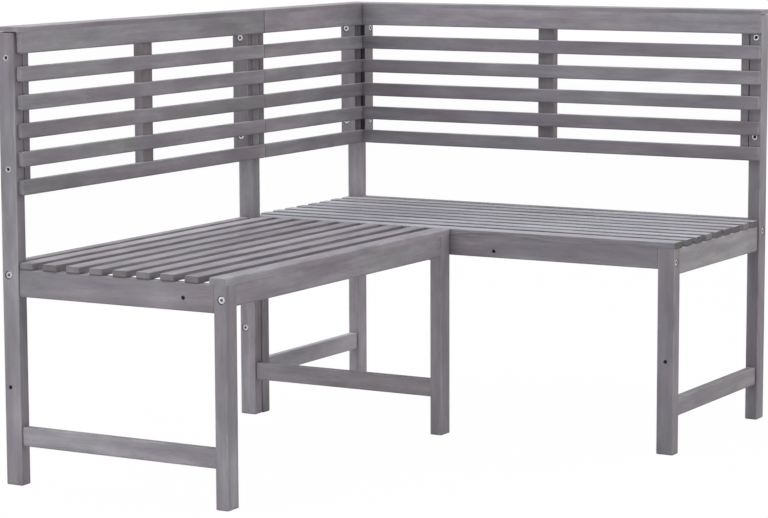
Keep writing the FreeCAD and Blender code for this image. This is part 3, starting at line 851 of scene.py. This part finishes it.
for number, (panel, stiles) in enumerate(panels.items()):
    for place, stile in enumerate(stiles):
        node = f"{panel}_{stile}"
        low, high = off_the_posts(*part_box(node))
        seed = STILE_PLANKS + 5 * number + place
        painted_shade = INNER_CORNER_SHADE.get(node, UNDERSIDE_SHADE)
        piece = board(node + "_timber", low, high, RAIL_ROUNDING, seed, stile_painted_shade_timber, "", painted_shade)
        placed(piece, "back_wood", node)
    slat_boxes = [off_the_next_panel(panel, *box_of(points)) for points in solids(f"{panel}_slats")]
    slat_boxes.sort(key=lambda box: box[0].z)
    seed = BACK_SLAT_PLANKS + number
    row = lay_slats(f"{panel}_slat_row", slat_boxes, BACK_LOOSENESS, seed, back_timber)
    placed(row, "back_wood", f"{panel}_slats")
    for place, (bar, butted) in enumerate((("top_rail", "top"), ("cap", "bottom"))):
        node = f"{panel}_{bar}"
        seed = TOP_PLANKS + 3 * number + place
        low, high = off_the_next_panel(panel, *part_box(node))
        piece = board(node + "_timber", low, high, RAIL_ROUNDING, seed, top_timber, butted)
        placed(piece, "back_wood", node)


# Bolts
# Zinc-plated steel bolts with flat heads and a six-sided socket, turned by a hex key.
# They hold the long rails, the back panels and the two benches together.
TURNED_SIDES = 24
SLOT_SHARE = 0.18
BOLT_TURNS = 171


def zinc_plate():
    """Zinc plating gone a little dull, with handling marks, and dark in its hollows with dirt and painted
    shade.
    """
    material = bpy.data.materials.new("zinc_plate")
    material.use_nodes = True
    tree = material.node_tree
    surface = tree.nodes["Principled BSDF"]
    place = add(tree, "ShaderNodeTexCoord").outputs["Object"]
    cloud = cloudy(tree, place, (420.0, 420.0, 420.0), 3.0)
    scuff = cloudy(tree, place, (2600.0, 900.0, 2600.0), 2.0)
    # Hollows of sockets, slots and threads darken with dirt and painted shade, and turn less metallic and
    # rougher.
    hollow_dirt_and_shade = add(tree, "ShaderNodeAttribute", attribute_name="hollow_dirt_and_shade").outputs["Fac"]
    dull = blended(tree, between(tree, cloud, 0.35, 0.65), paint(208, 206, 209), paint(162, 160, 163))
    feed(tree, blended(tree, hollow_dirt_and_shade, dull, paint(112, 107, 107)), surface.inputs["Base Color"])
    feed(tree, between(tree, hollow_dirt_and_shade, 0.0, 1.0, 1.0, 0.3), surface.inputs["Metallic"])
    rough = between(tree, scuff, 0.3, 0.7, 0.28, 0.46)
    rough = reckon(tree, "ADD", rough, reckon(tree, "MULTIPLY", hollow_dirt_and_shade, 0.4))
    feed(tree, rough, surface.inputs["Roughness"])
    bump = add(tree, "ShaderNodeBump")
    bump.inputs["Strength"].default_value = 0.25
    bump.inputs["Distance"].default_value = 0.05 * MM
    feed(tree, scuff, bump.inputs["Height"])
    feed(tree, bump.outputs[0], surface.inputs["Normal"])
    return material


def outline(kind, radius, angle):
    """How far a turned piece's ring reaches at an angle: round, six-sided, crossed or slotted."""
    if kind.endswith("hex"):
        return radius / math.cos((angle + math.pi / 6) % (math.pi / 3) - math.pi / 6)
    if kind.endswith(("cross", "slot")):
        turn = math.pi / 2 if kind.endswith("cross") else math.pi
        off = abs((angle + turn / 2) % turn - turn / 2)
        return min(radius, SLOT_SHARE * radius / max(math.sin(off), 0.01))
    return radius


def turned(name, profile):
    """A template turned round its own Z axis from rings of (radius, height, kind), in mm."""
    lathe = bmesh.new()
    hollow_dirt_and_shade = lathe.verts.layers.float.new("hollow_dirt_and_shade")
    rings = []
    for radius, height, kind in profile:
        if radius == 0:
            rings.append([lathe.verts.new((0, 0, height * MM))])
            continue
        ring = []
        for side in range(TURNED_SIDES):
            angle = 2 * math.pi * side / TURNED_SIDES
            reach = outline(kind, radius, angle) * MM
            ring.append(lathe.verts.new((reach * math.cos(angle), reach * math.sin(angle), height * MM)))
        rings.append(ring)
    for upper, lower in zip(rings, rings[1:]):
        for side in range(TURNED_SIDES):
            after = (side + 1) % TURNED_SIDES
            corners = [upper[side % len(upper)], upper[after % len(upper)]]
            corners += [lower[after % len(lower)], lower[side % len(lower)]]
            lathe.faces.new(dict.fromkeys(corners))
    # Rings of the deep kinds mark the hollows that take the dirt and painted shade of the zinc.
    for (_, _, kind), ring in zip(profile, rings):
        for vert in ring:
            vert[hollow_dirt_and_shade] = 1.0 if kind.startswith("deep") else 0.0
    for face in lathe.faces:
        face.smooth = True
    bmesh.ops.recalc_face_normals(lathe, faces=lathe.faces[:])
    mesh = bpy.data.meshes.new(name)
    lathe.to_mesh(mesh)
    lathe.free()
    template = bpy.data.objects.new(name, mesh)
    bpy.context.scene.collection.objects.link(template)
    return template


def fastener_tree():
    """Geometry nodes that set one fastener at every marked place, each with its own chance turn."""
    tree = bpy.data.node_groups.new("fastener_set", "GeometryNodeTree")
    tree.interface.new_socket("Places", in_out="INPUT", socket_type="NodeSocketGeometry")
    for label, kind in (
        ("Fastener", "NodeSocketObject"),
        ("Turn Seed", "NodeSocketInt"),
        ("Finish", "NodeSocketMaterial"),
    ):
        tree.interface.new_socket(label, in_out="INPUT", socket_type=kind)
    tree.interface.new_socket("Geometry", in_out="OUTPUT", socket_type="NodeSocketGeometry")
    given = add(tree, "NodeGroupInput").outputs
    shape = add(tree, "GeometryNodeObjectInfo", transform_space="ORIGINAL")
    feed(tree, given["Fastener"], shape.inputs["Object"])
    heading = add(tree, "GeometryNodeInputNamedAttribute", data_type="FLOAT_VECTOR")
    heading.inputs["Name"].default_value = "heading"
    aimed = add(tree, "FunctionNodeAlignRotationToVector", axis="Z")
    feed(tree, heading.outputs[0], aimed.inputs["Vector"])
    chance = add(tree, "FunctionNodeRandomValue", data_type="FLOAT")
    chance.inputs[2].default_value = 0.0
    chance.inputs[3].default_value = 2 * math.pi
    feed(tree, given["Turn Seed"], chance.inputs["Seed"])
    spin = add(tree, "FunctionNodeAxisAngleToRotation")
    spin.inputs["Axis"].default_value = (0, 0, 1)
    feed(tree, chance.outputs[1], spin.inputs["Angle"])
    spun = add(tree, "FunctionNodeRotateRotation", rotation_space="LOCAL")
    feed(tree, aimed.outputs[0], spun.inputs[0])
    feed(tree, spin.outputs[0], spun.inputs[1])
    dots = add(tree, "GeometryNodeMeshToPoints", mode="VERTICES")
    feed(tree, given["Places"], dots.inputs["Mesh"])
    laid = add(tree, "GeometryNodeInstanceOnPoints")
    feed(tree, dots.outputs[0], laid.inputs["Points"])
    feed(tree, shape.outputs["Geometry"], laid.inputs["Instance"])
    feed(tree, spun.outputs[0], laid.inputs["Rotation"])
    real = add(tree, "GeometryNodeRealizeInstances")
    feed(tree, laid.outputs[0], real.inputs[0])
    finished = add(tree, "GeometryNodeSetMaterial")
    feed(tree, real.outputs[0], finished.inputs["Geometry"])
    feed(tree, given["Finish"], finished.inputs["Material"])
    feed(tree, finished.outputs[0], add(tree, "NodeGroupOutput").inputs[0])
    return tree


def set_fasteners(name, profile, places, seed, node):
    """Turns one fastener and sets it at every place, instead of the solids of a CAD node."""
    template = turned(name + "_template", profile)
    spots = bpy.data.meshes.new(name + "_spots")
    spots.from_pydata([mouth for mouth, _ in places], [], [])
    headings = np.array([heading for _, heading in places], float)
    spots.attributes.new("heading", "FLOAT_VECTOR", "POINT").data.foreach_set("vector", headings.ravel())
    values = {"Fastener": template, "Turn Seed": seed, "Finish": zinc}
    piece = plain(name, spots, ("NODES", modifier_values(fastener_set, values)))
    bpy.data.objects.remove(template)
    placed(piece, "zinc_steel", node)


def by_length(fasteners):
    """Headed fasteners in lots of one length in mm, the shortest first, each with its places."""
    lots = {}
    for mouth, heading, length in fasteners:
        lots.setdefault(round(length / MM), []).append((mouth, heading))
    return sorted(lots.items())


zinc = zinc_plate()
fastener_set = fastener_tree()
for length, places in by_length(bolts):
    profile = [
        (0, 2.2, "deep"), (2.6, 2.2, "deep hex"), (2.75, 0.9, "deep hex"), (3.2, 0.6, "hex"),
        (6.3, 0.6, ""), (6.9, 0.8, ""), (7.3, 1.4, ""), (7.3, 2.8, ""), (7.0, 3.2, ""),
        (3.0, 3.2, ""), (3.0, length - 1, ""), (2.2, length, ""), (0, length, ""),
    ]
    set_fasteners(f"bolts_{length}", profile, places, BOLT_TURNS + length, "hex_socket_bolts")


# Threaded inserts
# Zinc steel sleeves with an inside thread, set flush into posts, legs and rails.
# Most take the bolts of the back panels, two take the joining bolts, and four stay open.
THREAD_RIDGES = 8
THREAD_STEP = 1.3
INSERT_TURNS = 191
profile = [(5.9, 0.5, ""), (5.0, 0.3, ""), (4.0, 0.5, ""), (3.5, 1.0, "deep")]
for ridge in range(THREAD_RIDGES):
    profile += [(3.2, 1.4 + THREAD_STEP * ridge, "deep"), (2.8, 2.0 + THREAD_STEP * ridge, "deep")]
profile += [(3.1, 11.8, "deep"), (5.9, 11.8, ""), (5.9, 0.5, "")]
places = [(mouth, heading) for mouth, heading, _ in inserts]
set_fasteners("insert_sleeves", profile, places, INSERT_TURNS, "threaded_inserts")


# Barrel nuts
# Slotted round steel nuts set across the long rails, where the rail bolts draw up on them.
# Each lies in a hole from the rail's inner face, below the surface.
NUT_TURNS = 193
profile = [
    (0, 1.2, "deep"), (3.5, 1.2, "deep slot"), (3.6, 0.0, "slot"), (4.6, 0.0, ""),
    (5.0, 0.4, ""), (5.0, 13.6, ""), (4.6, 14.0, ""), (0, 14.0, ""),
]
places = [(mouth, heading) for mouth, heading, _ in nuts]
set_fasteners("barrel_nut_set", profile, places, NUT_TURNS, "barrel_nuts")


# Slat screws
# Cross-headed countersunk screws driven from behind through the stiles into every slat.
# They hold the top rails as well, and only their heads show, at the rear of the backs.
SCREW_HEAD_REACH = 3.5 * MM
SCREW_TURNS = 195
for length, places in by_length(headed_places("slat_screws", SCREW_HEAD_REACH)):
    profile = [
        (0, 1.4, "deep"), (1.1, 1.1, "deep cross"), (2.4, -0.2, "cross"), (3.2, -0.2, ""), (3.9, 0.0, ""),
        (3.9, 0.3, ""), (2.0, 2.6, ""), (1.8, length - 3, ""), (0, length, ""),
    ]
    set_fasteners(f"slat_screws_{length}", profile, places, SCREW_TURNS + length, "slat_screws")


# Studio
# A white paper floor that keeps a pale shadow, in a white surround that gives hardly any light.
# Soft square lamps stand above, at the left, behind at the right, and in front.
FLOOR_REACH = 14
FLOOR_WHITE_SHARE = 0.985
SURROUND_LIGHT = 0.02


def white_seen(tree, shaded, share):
    """A shader that stays as lit for the light, and that the camera sees mixed with plain white."""
    path = add(tree, "ShaderNodeLightPath")
    seen = reckon(tree, "MAXIMUM", path.outputs["Is Camera Ray"], path.outputs["Is Glossy Ray"])
    seen = reckon(tree, "MAXIMUM", seen, path.outputs["Is Transmission Ray"])
    white = add(tree, "ShaderNodeEmission")
    white.inputs["Strength"].default_value = 1.0
    mixed = add(tree, "ShaderNodeMixShader")
    feed(tree, reckon(tree, "MULTIPLY", seen, share), mixed.inputs[0])
    feed(tree, shaded, mixed.inputs[1])
    feed(tree, white.outputs[0], mixed.inputs[2])
    return mixed.outputs[0]


floor_mesh = bpy.data.meshes.new("floor")
corners = [(x * FLOOR_REACH, y * FLOOR_REACH, 0) for x, y in ((-1, -1), (1, -1), (1, 1), (-1, 1))]
floor_mesh.from_pydata(corners, [], [(0, 1, 2, 3)])
floor = bpy.data.objects.new("floor", floor_mesh)
bpy.context.scene.collection.objects.link(floor)
paper = bpy.data.materials.new("white_paper")
paper.use_nodes = True
sheet = paper.node_tree
matt = sheet.nodes["Principled BSDF"]
matt.inputs["Base Color"].default_value = paint(244, 244, 244)
matt.inputs["Roughness"].default_value = 0.9
matt.inputs["Specular IOR Level"].default_value = 0.0
whitened = white_seen(sheet, matt.outputs[0], FLOOR_WHITE_SHARE)
feed(sheet, whitened, sheet.nodes["Material Output"].inputs["Surface"])
floor_mesh.materials.append(paper)

world = bpy.data.worlds.new("studio")
bpy.context.scene.world = world
world.use_nodes = True
air = world.node_tree
dim = air.nodes["Background"]
dim.inputs["Color"].default_value = (1, 1, 1, 1)
dim.inputs["Strength"].default_value = SURROUND_LIGHT
feed(air, white_seen(air, dim.outputs[0], 1.0), air.nodes["World Output"].inputs["Surface"])


def softbox(name, place, aim, size, power, color=(1.0, 1.0, 1.0)):
    """A square lamp that faces a point."""
    lamp = bpy.data.lights.new(name, "AREA")
    lamp.shape = "SQUARE"
    lamp.size = size
    lamp.energy = power
    lamp.color = color
    holder = bpy.data.objects.new(name, lamp)
    bpy.context.scene.collection.objects.link(holder)
    holder.location = place
    holder.rotation_euler = (Vector(aim) - Vector(place)).to_track_quat("-Z", "Y").to_euler()


softbox("overhead", (0.0, 0.0, 4.5), (0, 0, 0.3), 7.0, 220, (0.93, 0.96, 1.0))
softbox("left_high", (-3.0, -0.2, 2.6), (0, 0, 0.4), 2.0, 56)
softbox("right_back", (3.4, 1.7, 1.7), (-0.1, 0.5, 0.5), 2.0, 46, (1.0, 0.965, 0.91))
softbox("front_high", (-1.2, -3.6, 2.2), (0, 0, 0.4), 2.0, 18)
softbox("front_low", (-0.6, -3.4, 0.5), (-0.2, 0, 0.3), 1.6, 23)


# Camera
# A long lens, a little above the bench and to the right of its open corner.
# It looks down without a shift, so that the bench also keeps its place in views from other sides.
CAMERA_PLACE = Vector((2.7736, -4.957, 1.1511))
CAMERA_YAW = math.radians(29.694)
CAMERA_PITCH = math.radians(7.529)
CAMERA_ROLL = math.radians(-0.1917)
lens = bpy.data.cameras.new("camera")
lens.sensor_width = 36
lens.lens = 129.5
lens.clip_end = 100
camera = bpy.data.objects.new("camera", lens)
bpy.context.scene.collection.objects.link(camera)
aimed = Matrix.Rotation(CAMERA_YAW, 4, "Z") @ Matrix.Rotation(math.pi / 2 - CAMERA_PITCH, 4, "X")
camera.matrix_world = Matrix.Translation(CAMERA_PLACE) @ aimed @ Matrix.Rotation(CAMERA_ROLL, 4, "Z")
bpy.context.scene.camera = camera
bpy.context.scene.view_settings.view_transform = "Standard"
